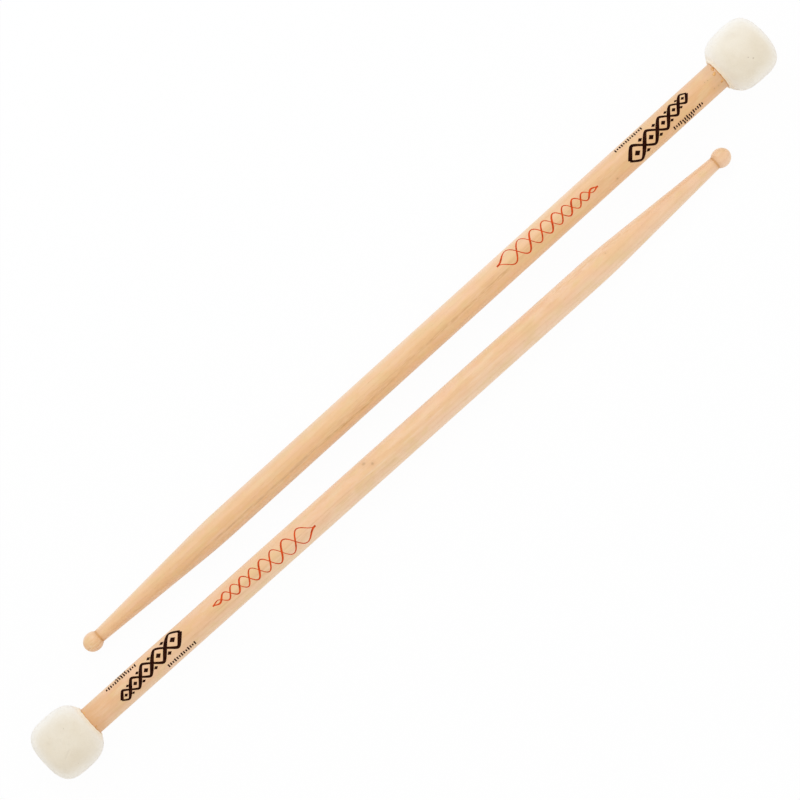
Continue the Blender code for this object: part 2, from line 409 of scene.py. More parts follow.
INK_DARK_WORN = rgb(78, 40, 22)
INK_RED = rgb(224, 84, 34)
INK_RED_THICK = rgb(130, 42, 22)
GLUE_LIGHT = rgb(232, 178, 98)
GLUE_DARK = rgb(200, 132, 60)


# Hickory

# Year rings in millimetres: how wide they are, how far they wander, and how far they drift in each along
RING_WIDTH = 2.1
RING_WANDER = 3.2
RING_DRIFT = 0.011
# Where the tree's heart lies from the stick's axis, in millimetres to its side and up
HEARTS = {1: (52.0, 38.0), 2: (-34.0, 58.0)}
# Millimetres along the tree between the two sticks' grain, and between a stick's grain and its clouds
GRAIN_APART = 140.0
CLOUDS_APART = 60.0
# The two colours between which each stick's wood wanders
WOOD_BASES = {1: (WOOD_HONEY, WOOD_AMBER), 2: (WOOD_PEACH, WOOD_STRAW)}
# Where the wood pales, as sapwood and as painted sheen along its edges: from and to which share of its
# radius to its side, how far, and to which colour
SAPWOOD_AND_SHEEN = {
    1: [
        (-0.36, 1.06, 0.20, WOOD_SAP_AND_LIGHT),
        (0.47, 0.85, 0.66, WOOD_SAP_AND_LIGHT),
        (0.60, 0.95, 0.16, WOOD_PAINTED_SHEEN),
        (-0.68, -0.94, 0.32, WOOD_PAINTED_SHEEN),
    ],
    2: [
        (-0.20, 1.06, 0.80, WOOD_SAP_AND_LIGHT),
        (0.60, 0.95, 0.25, WOOD_PAINTED_SHEEN),
        (-0.50, -0.85, 0.66, WOOD_PAINTED_SHEEN),
    ],
}
# How far painted light makes the wood paler towards the bead
BEAD_PAINTED_LIGHT = {1: 0.08, 2: 0.18}
# How far it turns to olive and to rose in patches, and how much each keeps to its own side of the stick
PATCHES = {1: (0.34, 0.26, 0.0), 2: (0.36, 0.26, 0.035)}
# How far it pales in clouds, and the share of that by which it darkens between them
CLOUDS = {1: 0.15, 2: 0.24}
CLOUD_DARK = 0.4
# Bands where the year rings come to the surface, and bands of painted light along the edges towards the
# bead:
# middle and half width across the stick, start and end along it, all in millimetres, then how strong the
# band is and its colour
GRAIN_AND_LIGHT_BANDS = {
    1: [
        (-2.2, 2.4, 148.0, 330.0, 0.52, WOOD_EARLY),
        (-1.6, 2.4, 30.0, 148.0, 0.22, WOOD_EARLY),
        (-4.8, 2.8, 12.0, 140.0, 0.42, WOOD_SAP_AND_LIGHT),
        (-4.0, 0.8, 62.0, 190.0, 0.50, WOOD_STREAK),
        (-3.2, 3.2, -30.0, 11.0, 0.55, WOOD_PAINTED_SHEEN),
        (-2.6, 0.7, 205.0, 262.0, 0.34, WOOD_STREAK),
    ],
    2: [
        (1.4, 0.7, 140.0, 236.0, 0.55, WOOD_SAP_AND_LIGHT),
        (-4.8, 3.2, 0.0, 110.0, 0.50, WOOD_PAINTED_SHEEN),
        (3.4, 0.8, 196.0, 330.0, 0.24, WOOD_STREAK),
        (1.9, 0.6, 232.0, 318.0, 0.26, WOOD_STREAK),
        (-1.2, 0.9, 96.0, 196.0, 0.30, WOOD_EARLY),
    ],
}
# How many millimetres to either side of its ends a band fades over
BAND_FADE = 14.0
# Pin knots and flecks of glue: turned so many degrees, and how far along and of what radius, in millimetres
WOOD_SPOTS = {
    1: [
        (-47, 324.6, 0.62),
        (4, 383.4, 0.42),
        (2, 385.0, 0.36),
        (-42, 387.4, 0.45),
        (-40, 385.0, 0.45),
        (131, 241.0, 0.62),
    ],
    2: [(-16, 75.0, 0.55), (-33, 221.6, 1.15), (-8, 218.5, 0.95), (172, 158.0, 0.58)],
}
# How strongly glue has soaked into the wood at the felt, and its stain
GLUE_SOAK = {1: (0.50, WOOD_STAINED), 2: (0.50, WOOD_SOAK_AND_SHADE)}


def hickory(stick):
    """Straight-grained hickory under a thin satin lacquer.

    The grain is solid: growth rings round a heart that lies far outside the stick, fibres and pores drawn
    out along it. The turned surface cuts them, so they run as lines on the shaft and turn to dots on the
    bead's end.
    """
    wood = StickFinish("satin_hickory", stick, Coat_Roughness=0.28, Specular_IOR_Level=0.42)
    x, y, z = wood.parts
    shift = GRAIN_APART * stick.number
    wander = wood.streaks(0.10, 0.011, shift=shift) - 0.5
    drift = wood.mottle(1.3)

    heart_side, heart_up = HEARTS[stick.number]
    across, above = x - heart_side, y - heart_up
    year = ((across * across + above * above).root() + wander * RING_WANDER + z * RING_DRIFT) / RING_WIDTH
    grown = year.part()
    early = grown.step(0.0, 0.06) * grown.step(0.62, 0.12)
    fibre = wood.streaks(1.9, 0.028, 3.0, 0.6, shift)
    hair = wood.streaks(8.0, 0.11, 2.0, 0.6, shift)
    pores = wood.streaks(5.2, 0.36, 1.0, 0.4, shift).step(0.66, 0.78) * (0.25 + 0.75 * early)
    broken = wood.streaks(1.6, 0.20, 3.0, 0.6, shift).step(0.38, 0.62)

    hickory_tone(wood, stick.number, shift, wander)
    wood.tint(early * 0.15, WOOD_EARLY)
    wood.tint((fibre - 0.5).step(0.02, 0.22) * 0.14, WOOD_EARLY)
    lighter = 1.0 + (fibre - 0.5) * 0.08 + (hair - 0.5) * 0.06 + (broken - 0.5) * 0.014
    wood.shade(lighter)
    wavy = x + wander * 5.0 + (fibre - 0.5) * 1.2
    # Grain bands, and bands of painted light along the edges towards the bead
    for middle, half, start, end, share, band_colour in GRAIN_AND_LIGHT_BANDS[stick.number]:
        run = z.step(start - BAND_FADE, start + BAND_FADE) * z.step(end + BAND_FADE, end - BAND_FADE)
        band = abs(wavy - middle).step(half, half * 0.2) * run * broken
        wood.tint(band * share, band_colour)
    wood.tint(pores * 0.30, WOOD_PORE)
    for degrees, along, size in WOOD_SPOTS[stick.number]:
        off = wood.off_spot(SHOULDER_DIAMETER / 2 / MM, degrees, along) + (drift - 0.5) * 0.6
        wood.tint(off.step(size * 3.5, size * 0.8) * 0.22, WOOD_EARLY)
        wood.tint(off.step(size * 1.2, size * 0.1) * 0.40, WOOD_KNOT)

    # At the neck: a burnished line from the lathe, with painted shade in the crease round it
    off_neck = abs(z - (BEAD_BACK + NECK_LAND / 2) / MM)
    wood.tint(off_neck.step(0.8, 0.1) * 0.6 + off_neck.step(2.4, 0.2) * 0.3, WOOD_BURNISH_AND_SHADE)
    soaked = (z + (drift - 0.5) * 6.0).step(HEM_EDGE / MM - 9.0, HEM_EDGE / MM - 1.0)
    strong, stain = GLUE_SOAK[stick.number]
    wood.tint(soaked * strong, stain)

    rough = 0.40 + hair * 0.08 + pores * 0.2 + soaked * 0.1
    grooves = wood.relief(hair * 0.35 + fibre * 0.65 - pores * 0.9, 0.035 * MM, 0.35)
    return wood.wear(Roughness=rough, Coat_Weight=0.16 - pores * 0.12, Normal=grooves)


def hickory_tone(wood, number, shift, wander):
    """The wood's broad colours: two that wander into each other, paler sapwood and painted sheen at the
    sides, painted light towards the bead, painted shade towards the felt, patches of olive and rose, and
    soft clouds."""
    x, y, z = wood.parts
    blush = wood.streaks(0.16, 0.016, shift=shift).step(0.30, 0.72)
    wood.colour = wood.mix(blush, *WOOD_BASES[number])
    # The 0.2 mm keeps the share finite on the stick's axis
    aside = x / ((x * x + y * y).root() + 0.2)
    # Paler sapwood, and painted sheen along the edges
    for inner, outer, share, pale in SAPWOOD_AND_SHEEN[number]:
        wood.tint(aside.step(inner, outer) * share, pale)
    # Painted light: the wood pales towards the bead
    wood.tint(z.step(110.0, 10.0) * BEAD_PAINTED_LIGHT[number], WOOD_SAP_AND_LIGHT)
    # Painted shade: the wood darkens towards the felt head
    wood.tint((z + wander * 60.0).step(250.0, 400.0) * 0.46, WOOD_SOAK_AND_SHADE)
    olive, rose, lean = PATCHES[number]
    patch = wood.streaks(0.26, 0.11, 3.0, 0.6, shift) + aside * lean
    wood.tint(patch.step(0.50, 0.66) * olive, WOOD_OLIVE)
    wood.tint(patch.step(0.50, 0.34) * rose, WOOD_ROSE)
    cloud = wood.streaks(0.24, 0.09, 3.0, 0.6, shift + CLOUDS_APART)
    wood.tint(cloud.step(0.46, 0.62) * CLOUDS[number], WOOD_SAP_AND_LIGHT)
    wood.tint(cloud.step(0.50, 0.38) * (CLOUDS[number] * CLOUD_DARK), WOOD_EARLY)


# Felt

# How light each head's felt is: the second head's is darker
FELT_TONE = {1: 0.985, 2: 0.970}
# Dark fibres matted into each head's felt, in the same measures as the spots on the wood
FELT_SPECKS = {
    1: [(-29, 406.2, 0.50), (-22, 404.6, 0.36), (118, 410.0, 0.40)],
    2: [(-14, 401.4, 0.34), (52, 407.0, 0.30), (-120, 402.0, 0.40)],
}
# The faint crease in the second head's felt: its two ends as (turned, along), and how wide and deep it is
CREASED_HEAD = 2
CREASE_ENDS = [(math.radians(29.5), 410.7 * MM), (math.radians(18.5), 404.7 * MM)]
CREASE_WIDTH = 0.35 * MM
CREASE_DEPTH = 0.10 * MM


def crease_measure(x, y, z):
    """How fully the crease is there, 0 past its ends, and how far off its chord a place in the stick's
    axes is. Only the sideways distance counts, because the chord lies a little under the skin."""
    radius = HEAD_DIAMETER / 2
    start, end = ((radius * math.sin(turn), radius * math.cos(turn), along) for turn, along in CREASE_ENDS)
    length = math.dist(start, end)
    way = [(last - first) / length for first, last in zip(start, end)]
    gap = [value - first for value, first in zip((x, y, z), start)]
    run = gap[0] * way[0] + gap[1] * way[1] + gap[2] * way[2]
    return smooth(run / length), abs(gap[0] * way[2] - gap[2] * way[0])


def smooth(share):
    """1 in the middle of a run of 0 to 1, and smoothly 0 at both ends."""
    if isinstance(share, Value):
        return share.step(0.0, 0.25) * share.step(1.0, 0.75)
    return eased(np.clip(np.minimum(share, 1 - share) * 4, 0, 1))


def cover_felt(stick):
    """Dense off-white felt: short wool matted in every direction, softly mottled, with a few dark fibres."""
    sheen = {"Sheen_Weight": 0.38, "Sheen_Roughness": 0.45}
    felt = StickFinish("wool_felt", stick, Specular_IOR_Level=0.12, **sheen)
    x, y, z = felt.parts
    cloud = felt.mottle(0.10)
    mat = felt.mottle(1.5, 6.0, 0.68, 1.4)
    tangle = abs(felt.mottle(4.2, 3.0, 0.6, 2.6) - 0.5).step(0.085, 0.0)
    pill = felt.mottle(0.62, twist=0.3)

    felt.colour = felt.mix(cloud.step(0.2, 0.8), FELT_PALE, FELT_CREAM)
    felt.shade(FELT_TONE[stick.number] + (mat - 0.5) * 0.10 + tangle * 0.03)
    for degrees, along, size in FELT_SPECKS[stick.number]:
        off = felt.off_spot(HEAD_DIAMETER / 2 / MM, degrees, along) + (mat - 0.5) * 0.3
        felt.tint(off.step(size, size * 0.4) * 0.45, FELT_SPECK)
    # Painted sheen: the felt whitens towards its edges as seen
    felt.tint(felt.slant().step(0.10, 0.75) * 0.80, FELT_PAINTED_SHEEN)
    # Near the hem: a yellowish tinge of glue, and a painted highlight of light thrown back from the wood
    near_hem = z.step(HEM_EDGE / MM + 2.4, HEM_EDGE / MM + 0.2)
    felt.tint(near_hem * 0.50, FELT_HEM_TINGE_AND_HIGHLIGHT)
    # The second head: painted shade along its crease
    if stick.number == CREASED_HEAD:
        run, off = crease_measure(x * MM, y * MM, z * MM)
        felt.shade(1.0 - 0.05 * off.step(0.7 * MM, 0.1 * MM) * run)

    soft = felt.relief(pill, 0.30 * MM, 0.35)
    matted = felt.relief(mat * 0.7 + tangle * 0.3, 0.16 * MM, 0.45, soft)
    return felt.wear(Roughness=0.94 - tangle * 0.06, Normal=matted)


def nap_wool(stick):
    """The loose fibres' own wool, a little paler here and there."""
    wool = StickFinish("nap_wool", stick, Sheen_Weight=0.1, Specular_IOR_Level=0.1)
    tone = wool.mottle(1.2)
    wool.colour = wool.mix(tone, FELT_CREAM, FELT_PALE)
    return wool.wear(Roughness=0.9 + tone * 0.05)


def liner_felt(stick):
    """Firm grey felt of mixed wool, coarser than the cover."""
    felt = StickFinish("liner_wool", stick, Sheen_Weight=0.15, Specular_IOR_Level=0.15)
    mat = felt.mottle(1.1, 6.0, 0.7, 1.6)
    mixed = felt.mottle(3.1, 2.0, 0.6, 2.2)
    felt.colour = felt.mix(mixed.step(0.42, 0.6), LINER_GREY, LINER_BROWN)
    felt.shade(0.9 + (mat - 0.5) * 0.5)
    return felt.wear(Roughness=0.96 - mat * 0.05, Normal=felt.relief(mat, 0.3 * MM, 0.6))


# Maple, thread, ink and glue

# Where the maple's heart lies from the core's axis, in millimetres to its side and up
MAPLE_HEART = (21.0, -13.0)


def turned_maple(stick):
    """Pale maple as it leaves the lathe: faint rings, short flecks, fine tool marks round the axis."""
    wood = StickFinish("turned_maple", stick, Specular_IOR_Level=0.3)
    x, y, z = wood.parts
    across, above = x - MAPLE_HEART[0], y - MAPLE_HEART[1]
    year = ((across * across + above * above).root() + wood.mottle(0.12) * 1.6) / 1.7
    late = year.part().step(0.55, 0.95)
    fleck = wood.noise(wood.vector(x * 2.2, y * 0.8, z * 0.5), 1.0).step(0.58, 0.7)
    wood.colour = wood.mix(late * 0.45, MAPLE_PALE, MAPLE_LATE)
    wood.tint(fleck * 0.25, MAPLE_FLECK)
    marks = wood.relief((z * 17.0).wave() * 0.5 + 0.5, 0.03 * MM, 0.4)
    return wood.wear(Roughness=0.55 + late * 0.06, Normal=marks)


def waxed_thread(stick):
    """Waxed thread: its plies wind round the ring as slanted stripes, with painted shade in the furrows
    between them.
    """
    thread = StickFinish("waxed_thread_finish", stick, Specular_IOR_Level=0.45, Coat_Weight=0.1)
    x, y, z = thread.parts
    ring = y.atan2(x) * (THREAD_RING / MM)
    outward = (x * x + y * y).root() - THREAD_RING / MM
    level = z - HEM_EDGE / MM
    ply = ((ring * 7.0 + outward.atan2(level) * 2.0).wave() * 0.5 + 0.5) ** 0.6
    thread.colour = thread.mix(ply, THREAD_FURROW_SHADE, THREAD_PALE)
    furrows = thread.relief(ply, 0.08 * MM, 0.7)
    return thread.wear(Roughness=0.62 - ply * 0.12, Normal=furrows)


def printing_ink(stick, name, usual, uneven, most):
    """Printing ink on open grain: in patches it goes over to its uneven colour, at most this far."""
    ink = StickFinish(name, stick, Specular_IOR_Level=0.02)
    grain = ink.streaks(5.2, 0.36)
    patch = ink.mottle(0.7, 3.0, 0.6)
    ink.colour = ink.mix((grain * 0.7 + patch * 0.5).step(0.52, 0.80) * most, usual, uneven)
    pitted = ink.relief(grain, 0.02 * MM, 0.3)
    return ink.wear(Roughness=0.45 + patch * 0.16, Normal=pitted)


def dried_glue(stick):
    """Dried amber glue, glassy and uneven, darker where it is thick."""
    gloss = {"Specular_IOR_Level": 0.5, "Coat_Weight": 0.6, "Coat_Roughness": 0.12}
    glue = StickFinish("dried_glue", stick, **gloss)
    thick = glue.mottle(0.9, 3.0, 0.6)
    ripple = glue.mottle(2.4)
    glue.colour = glue.mix(thick.step(0.35, 0.68), GLUE_LIGHT, GLUE_DARK)
    rippled = glue.relief(ripple, 0.05 * MM, 0.5)
    return glue.wear(Roughness=0.24 + ripple * 0.18, Normal=rippled)


# Shaft

# Its mesh: places round it, steps on its straight runs, places on the shoulder and the bead, sharp angle
SHAFT_AROUND = 144
SHANK_STEP = 3.0 * MM
TAPER_STEP = 2.0 * MM
SHOULDER_PLACES = 33
BEAD_PLACES = 60
SHAFT_CORNER = math.radians(50)


def shaft_outline():
    """The shaft's outline as (out, along) from the end of the tenon to the bead tip: the butt's corners,
    a parabola for the shoulder, the neck, and an oval for the bead. The runs between them are straight."""
    tenon, seat = TENON_DIAMETER / 2, BUTT_DIAMETER / 2
    neck, shoulder = NECK_DIAMETER / 2, SHOULDER_DIAMETER / 2
    tenon_end = SEAT_FROM_TIP + TENON_LENGTH
    neck_end = BEAD_BACK + NECK_LAND
    butt = [
        (tenon - TENON_CHAMFER, tenon_end),
        (tenon, tenon_end - TENON_CHAMFER),
        (tenon, SEAT_FROM_TIP),
        (seat - SEAT_CHAMFER, SEAT_FROM_TIP),
        (seat, SEAT_FROM_TIP - SEAT_CHAMFER),
    ]
    shaft_slope = (seat - shoulder) / (SEAT_FROM_TIP - SHOULDER_FROM_TIP)
    taper_slope = (shoulder - neck) / (SHOULDER_FROM_TIP - neck_end)
    across = np.linspace(SHOULDER_BLEND, -SHOULDER_BLEND, SHOULDER_PLACES)
    drop = (taper_slope - shaft_slope) * (SHOULDER_BLEND - across) ** 2 / (4 * SHOULDER_BLEND)
    blend = np.stack([shoulder + shaft_slope * across - drop, SHOULDER_FROM_TIP + across], axis=1)
    turn = np.linspace(math.pi - math.asin(NECK_DIAMETER / BEAD_DIAMETER), 0, BEAD_PLACES)
    bead = np.stack([BEAD_DIAMETER / 2 * np.sin(turn), BEAD_LENGTH / 2 * (1 - np.cos(turn))], axis=1)
    return np.array(butt), blend, np.array([(neck, neck_end)]), bead


def make_shaft(stick):
    """The shaft, turned from its outline in rings, a few millimetres apart on the straight runs."""
    butt, blend, neck, bead = shaft_outline()
    shank = even(np.concatenate([butt[-1:], blend[:1]]), SHANK_STEP)
    taper = even(np.concatenate([blend[-1:], neck]), TAPER_STEP)
    outline = np.concatenate([butt, shank[1:], blend[1:], taper[1:], bead[:-1]])
    rings = stick.place(outline[:, :1], round_turn(SHAFT_AROUND), outline[:, 1:])
    poles = stick.place(0.0, 0.0, np.array([outline[0, 1], 0.0]))
    made = piece("turned_shaft", closed_skin(rings, poles), hickory(stick), stick)
    made.data.set_sharp_from_angle(angle=SHAFT_CORNER)
    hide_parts(f"shaft_{stick.number}")


# Mallet head

# Its mesh: places round it, on a quarter of the barrel, on the hem and the groove, steps out- and inside
HEAD_AROUND = 360
BARREL_PLACES = 200
HEM_PLACES = 24
GROOVE_PLACES = 14
SKIN_STEP = 0.30 * MM
INNER_STEP = 1.2 * MM
# The felt's uneven waves: their height, shortest and longest length, how many there are, and their seed
UNEVENNESS = [(0.10 * MM, 9.0 * MM, 22.0 * MM, 28, 40), (0.022 * MM, 1.6 * MM, 4.5 * MM, 60, 50)]
# How far out from the bore the waves have their full height
FREE_FROM_BORE = 2.0 * MM
# How softly the felt settles on the ground
SETTLING = 0.05 * MM


def barrel(inset, out_to):
    """Outline (out, along) of a squarish oval, set in by inset, from the crown to where its base meets
    the radius out_to: a turn's sine and cosine, to the power of 2 / squareness."""
    half = HEAD_DIAMETER / 2 - inset
    turn = np.linspace(0, math.pi / 2, BARREL_PLACES)
    crown_out = half * np.sin(turn) ** (2 / CROWN_SQUARENESS)
    crown = (BELLY_TO_CROWN - inset) * np.cos(turn) ** (2 / CROWN_SQUARENESS)
    last = math.acos((out_to / half) ** (BASE_SQUARENESS / 2))
    turn = np.linspace(0, last, BARREL_PLACES)[1:]
    base_out = half * np.cos(turn) ** (2 / BASE_SQUARENESS)
    base = -(BELLY_TO_BASE - inset) * np.sin(turn) ** (2 / BASE_SQUARENESS)
    out, along = np.concatenate([crown_out, base_out]), np.concatenate([crown, base])
    return np.stack([out, BELLY_FROM_TIP + along], axis=1)


def outer_barrel(step):
    """The cover's outer side as (out, along), from the crown to its hem."""
    return even(barrel(0, THREAD_RING + HEM_ROLL), step)


def cover_outline():
    """The cover's outline as (out, along): the barrel, the rolled hem, the thread's groove, the inside."""
    turn = np.linspace(0, math.pi - math.acos(THREAD_FROM_BORE / HEM_ROLL), HEM_PLACES)[1:]
    out = THREAD_RING + HEM_ROLL * np.cos(turn)
    roll = HEM_MIDDLE - HEM_ROLL * np.sin(turn)
    lip = np.stack([out, np.minimum(roll, BELLY_FROM_TIP - barrel_depth(out))], axis=1)
    half_open = math.acos(THREAD_FROM_BORE / THREAD_GROOVE)
    turn = np.linspace(-math.pi + half_open, math.pi - half_open, GROOVE_PLACES)
    round_it = np.stack([np.cos(turn), np.sin(turn)], axis=1)
    groove = np.array([THREAD_RING, HEM_MIDDLE]) + THREAD_GROOVE * round_it
    inside = even(barrel(COVER_THICKNESS, HEAD_BORE), INNER_STEP)[::-1]
    return outer_barrel(SKIN_STEP), lip, groove, inside


def felt_skin(stick, out, turned, along, pleating, freedom):
    """Points of the cover's skin: the even form, pushed in at the pleats, moved out and in by uneven
    waves as far as it is free to, and pressed flat where it lies on the ground."""
    pleat = PLEAT_DEPTH * pleating * (1 - np.cos(PLEATS * turned)) / 2
    even_skin = stick.place(out, turned, along + pleat)
    away = unit(even_skin - stick.place(0.0, 0.0, BELLY_FROM_TIP))
    uneven = sum(
        height * waves(even_skin, seed + stick.number, shortest, longest, count)
        for height, shortest, longest, count, seed in UNEVENNESS
    )
    if stick.number == CREASED_HEAD:
        gap = even_skin - stick.tip
        run, off = crease_measure(gap @ stick.side, gap @ stick.up, gap @ stick.along)
        above = np.cos(turned) > 0
        uneven -= CREASE_DEPTH * run * above * np.exp(-((off / CREASE_WIDTH) ** 2))
    skin = even_skin + away * (freedom * uneven)[..., None]
    skin[..., 2] = settled(skin[..., 2])
    return skin


def settled(height):
    """Height with nothing left below the ground: (h + sqrt(h * h + s * s)) / 2, where s is small."""
    return (height + np.sqrt(height * height + SETTLING * SETTLING)) / 2


def make_cover(stick):
    """The felt cover, one closed skin from its outer crown round the hem and back inside. Thread and
    liner hold the hem and the inner side, so the waves are on its outer side alone."""
    outside, lip, groove, inside = cover_outline()
    outline = np.concatenate([outside, lip, groove, inside])
    seen = len(outside) + len(lip)
    near = np.clip(1 - (outline[:, 0] - HEAD_BORE) / PLEAT_REACH, 0, 1)
    near[(outline[:, 1] > BELLY_FROM_TIP) | (np.arange(len(outline)) >= seen)] = 0
    pleating = eased(near)
    freedom = np.clip((outline[:, 0] - HEAD_BORE) / FREE_FROM_BORE, 0, 1)
    freedom[: len(outside) // 2] = 1
    freedom[seen:] = 0
    rings = outline[1:-1]
    turned = round_turn(HEAD_AROUND)
    skin = felt_skin(stick, rings[:, :1], turned, rings[:, 1:], pleating[1:-1, None], freedom[1:-1, None])
    axis = np.zeros(2)
    poles = felt_skin(stick, axis, axis, outline[[0, -1], 1], axis, freedom[[0, -1]])
    made = piece("felt_head", closed_skin(skin, poles), cover_felt(stick), stick)
    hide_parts(f"felt_cover_{stick.number}")


# Printed bands

# Each stick lies with its print turned a little off the top, towards where it is looked at from
PRINT_TURN = {1: math.radians(-2), 2: math.radians(5)}
# The film of ink: how proud it is, how proud over another line, how deep its underside is, how far apart
# its rails are at most, and the angle from which an edge is sharp
FILM_PROUD = 0.02 * MM
FILM_OVER = 1.3 * FILM_PROUD
FILM_ROOT = 0.06 * MM
RAIL_STEP = 0.8 * MM
FILM_CORNER = math.radians(40)


def shaft_radius(station):
    """The shaft's radius above its shoulder, at a distance from the tip."""
    slope = (BUTT_DIAMETER - SHOULDER_DIAMETER) / 2 / (SEAT_FROM_TIP - SHOULDER_FROM_TIP)
    return SHOULDER_DIAMETER / 2 + slope * (station - SHOULDER_FROM_TIP)


def film(name, stick, strips, finish):
    """Thin closed strips that follow the turned surface. A strip is a line on the unrolled shaft with a
    half width at each point: rails beside it give its upper side, and the same rails a little deeper its
    lower one."""
    skins = []
    for along, around, half, proud in strips:
        way = unit(np.gradient(np.stack([along, around], axis=1), axis=0))
        rails = np.linspace(-1, 1, 2 * math.ceil(half.max() / RAIL_STEP) + 1)
        station = along[:, None] - way[:, 1:] * half[:, None] * rails
        arc = around[:, None] + way[:, :1] * half[:, None] * rails
        surface = shaft_radius(station)
        turned = arc / surface + PRINT_TURN[stick.number]
        upper = stick.place(surface + proud, turned, station)
        lower = stick.place(surface - FILM_ROOT, turned, station)[:, ::-1]
        band = np.concatenate([upper, lower], axis=1)
        rows, corners = band.shape[:2]
        low = np.arange(len(rails) - 1)
        cap = np.stack([low, low + 1, corners - 2 - low, corners - 1 - low], axis=1)
        quads = [round_faces(rows, corners), cap[:, ::-1], cap + (rows - 1) * corners]
        skins.append((band.reshape(-1, 3), np.concatenate(quads), NO_TRIANGLES))
    made = piece(name, joined(skins), finish, stick)
    made.data.set_sharp_from_angle(angle=FILM_CORNER)


# The dark band: two zigzags that cross in a chain of open lozenges, large at its start and small towards the
# head, with small lozenges in and between them, and a row of short bars at either side
BAND_START = 334.0 * MM
LINKS = 5
LINK_LENGTHS = (10.4 * MM, 5.6 * MM)
LINK_HALVES = (4.5 * MM, 2.3 * MM)
LINK_STROKES = (0.78 * MM, 0.58 * MM)
LINK_SHARPNESS = 0.97
LINK_PLACES = 60
# By which share a stroke swells and thins from link to link
LINK_PRESS = 0.3
# The arc from the top of the print to the chain's middle, at its start and at its end
LINK_MIDDLES = (-3.2 * MM, 2.9 * MM)
# The small lozenges: their share of a link, how far beside the knots the others lie, and how long and wide
# these are beside the first
SPARK_SHARE = 0.34
SPARK_ASIDE = 0.78
SPARK_BETWEEN = (0.8, 0.7)
MARK_POINT = 0.012 * MM
BAR_PITCH = 1.30 * MM
BAR_LENGTH = 0.70 * MM
BAR_HALVES = (1.10 * MM, 0.68 * MM, 0.92 * MM)
# Each row's arc from the top of the print, where it starts, and how many bars it has
BAR_ROWS = [
    (5.9 * MM, BAND_START - 1.6 * MM, 13),
    (-6.1 * MM, BAND_START + 25.5 * MM, 14),
    (-8.0 * MM, BAND_START + 31.0 * MM, 5),
]
# The half width along a small mark, as a share: a lozenge's rises evenly to its middle, a bar's stays
LOZENGE = 1 - abs(np.linspace(-1, 1, 9))
BAR = np.ones(3)


def mark(along, around, length, half, shape):
    """A small mark on the shaft: a strip along it, of a half width that follows the shape."""
    run = np.linspace(-0.5, 0.5, len(shape))
    return along + run * length, np.full_like(run, around), np.maximum(half * shape, MARK_POINT), FILM_PROUD


def link_measure(run):
    """Where a place on the chain is, along and round, and how long, wide and bold its link is there. The
    run counts the links; their length shrinks evenly along it, so the distance is a parabola."""
    ends = (LINK_LENGTHS, LINK_HALVES, LINK_STROKES, LINK_MIDDLES)
    length, half, stroke, middle = (first + (last - first) * run / LINKS for first, last in ends)
    return BAND_START + run * (LINK_LENGTHS[0] + length) / 2, middle, length, half, stroke


def make_dark_band(stick):
    """The chain of lozenges, the small lozenges and the rows of bars. A zigzag is the arcsine of a sine,
    a little rounded at its points."""
    run = np.linspace(0, LINKS, LINK_PLACES * LINKS + 1)
    along, middle, _, half, stroke = link_measure(run)
    zigzag = half * np.arcsin(LINK_SHARPNESS * np.sin(math.pi * run)) / math.asin(LINK_SHARPNESS)
    press = LINK_PRESS * np.cos(math.pi * run)
    strips = [
        (along, middle + zigzag, stroke * (1 + press), FILM_PROUD),
        (along, middle - zigzag, stroke * (1 - press), FILM_OVER),
    ]
    for link in range(LINKS):
        along, middle, length, half, _ = link_measure(link + 0.5)
        strips.append(mark(along, middle, length * SPARK_SHARE, half * SPARK_SHARE, LOZENGE))
    longer, wider = (SPARK_SHARE * share for share in SPARK_BETWEEN)
    for knot in range(1, LINKS):
        along, middle, length, half, _ = link_measure(knot)
        for aside in (-half * SPARK_ASIDE, half * SPARK_ASIDE):
            strips.append(mark(along, middle + aside, length * longer, half * wider, LOZENGE))
    for arc, start, count in BAR_ROWS:
        for number in range(count):
            height = BAR_HALVES[number % len(BAR_HALVES)]
            strips.append(mark(start + BAR_PITCH * number, arc, BAR_LENGTH, height, BAR))
    finish = printing_ink(stick, "dark_ink", INK_DARK, INK_DARK_WORN, 0.5)
    film("dark_band", stick, strips, finish)


# The red band: two thin strands that cross each other in loops, long and wide at the start, small towards
# the head. Their swing opens and closes at its ends, and shrinks by a share between them
TWIST_START = 256.5 * MM
TWIST_END = 315.5 * MM
TWIST_TURNS = 4.5
TWIST_HASTE = 1.35
TWIST_HALF = 5.2 * MM
TWIST_OPENING = 9
TWIST_SHRINK = 0.62
TWIST_MIDDLES = (2.2 * MM, -1.5 * MM)
TWIST_PLACES = 420
# A strand's half width, the share by which it swells and thins, and how bold the second is beside the first
STRAND_HALF = 0.34 * MM
STRAND_PRESS = 0.38
SECOND_STRAND = 0.8


def make_red_band(stick):
    """Two strands: each is a sine along the stick, the second the first one's mirror, and swells and
    thins as a pen's line does."""
    run = np.linspace(0, 1, TWIST_PLACES)
    ends = (np.sin(np.clip(share * TWIST_OPENING, 0, math.pi / 2)) for share in (run, 1 - run))
    swing = TWIST_HALF * (1 - TWIST_SHRINK * run) * math.prod(ends)
    middle = TWIST_MIDDLES[0] + (TWIST_MIDDLES[1] - TWIST_MIDDLES[0]) * run
    along = TWIST_START + (TWIST_END - TWIST_START) * run
    phase = 2 * math.pi * TWIST_TURNS * run ** TWIST_HASTE
    wave = swing * np.sin(phase)
    press = STRAND_PRESS * np.cos(phase)
    strips = [
        (along, middle + wave, STRAND_HALF * (1 + press), FILM_PROUD),
        (along, middle - wave, STRAND_HALF * SECOND_STRAND * (1 - press), FILM_OVER),
    ]
    finish = printing_ink(stick, "red_ink", INK_RED, INK_RED_THICK, 0.75)
    film("red_band", stick, strips, finish)


# Dried glue

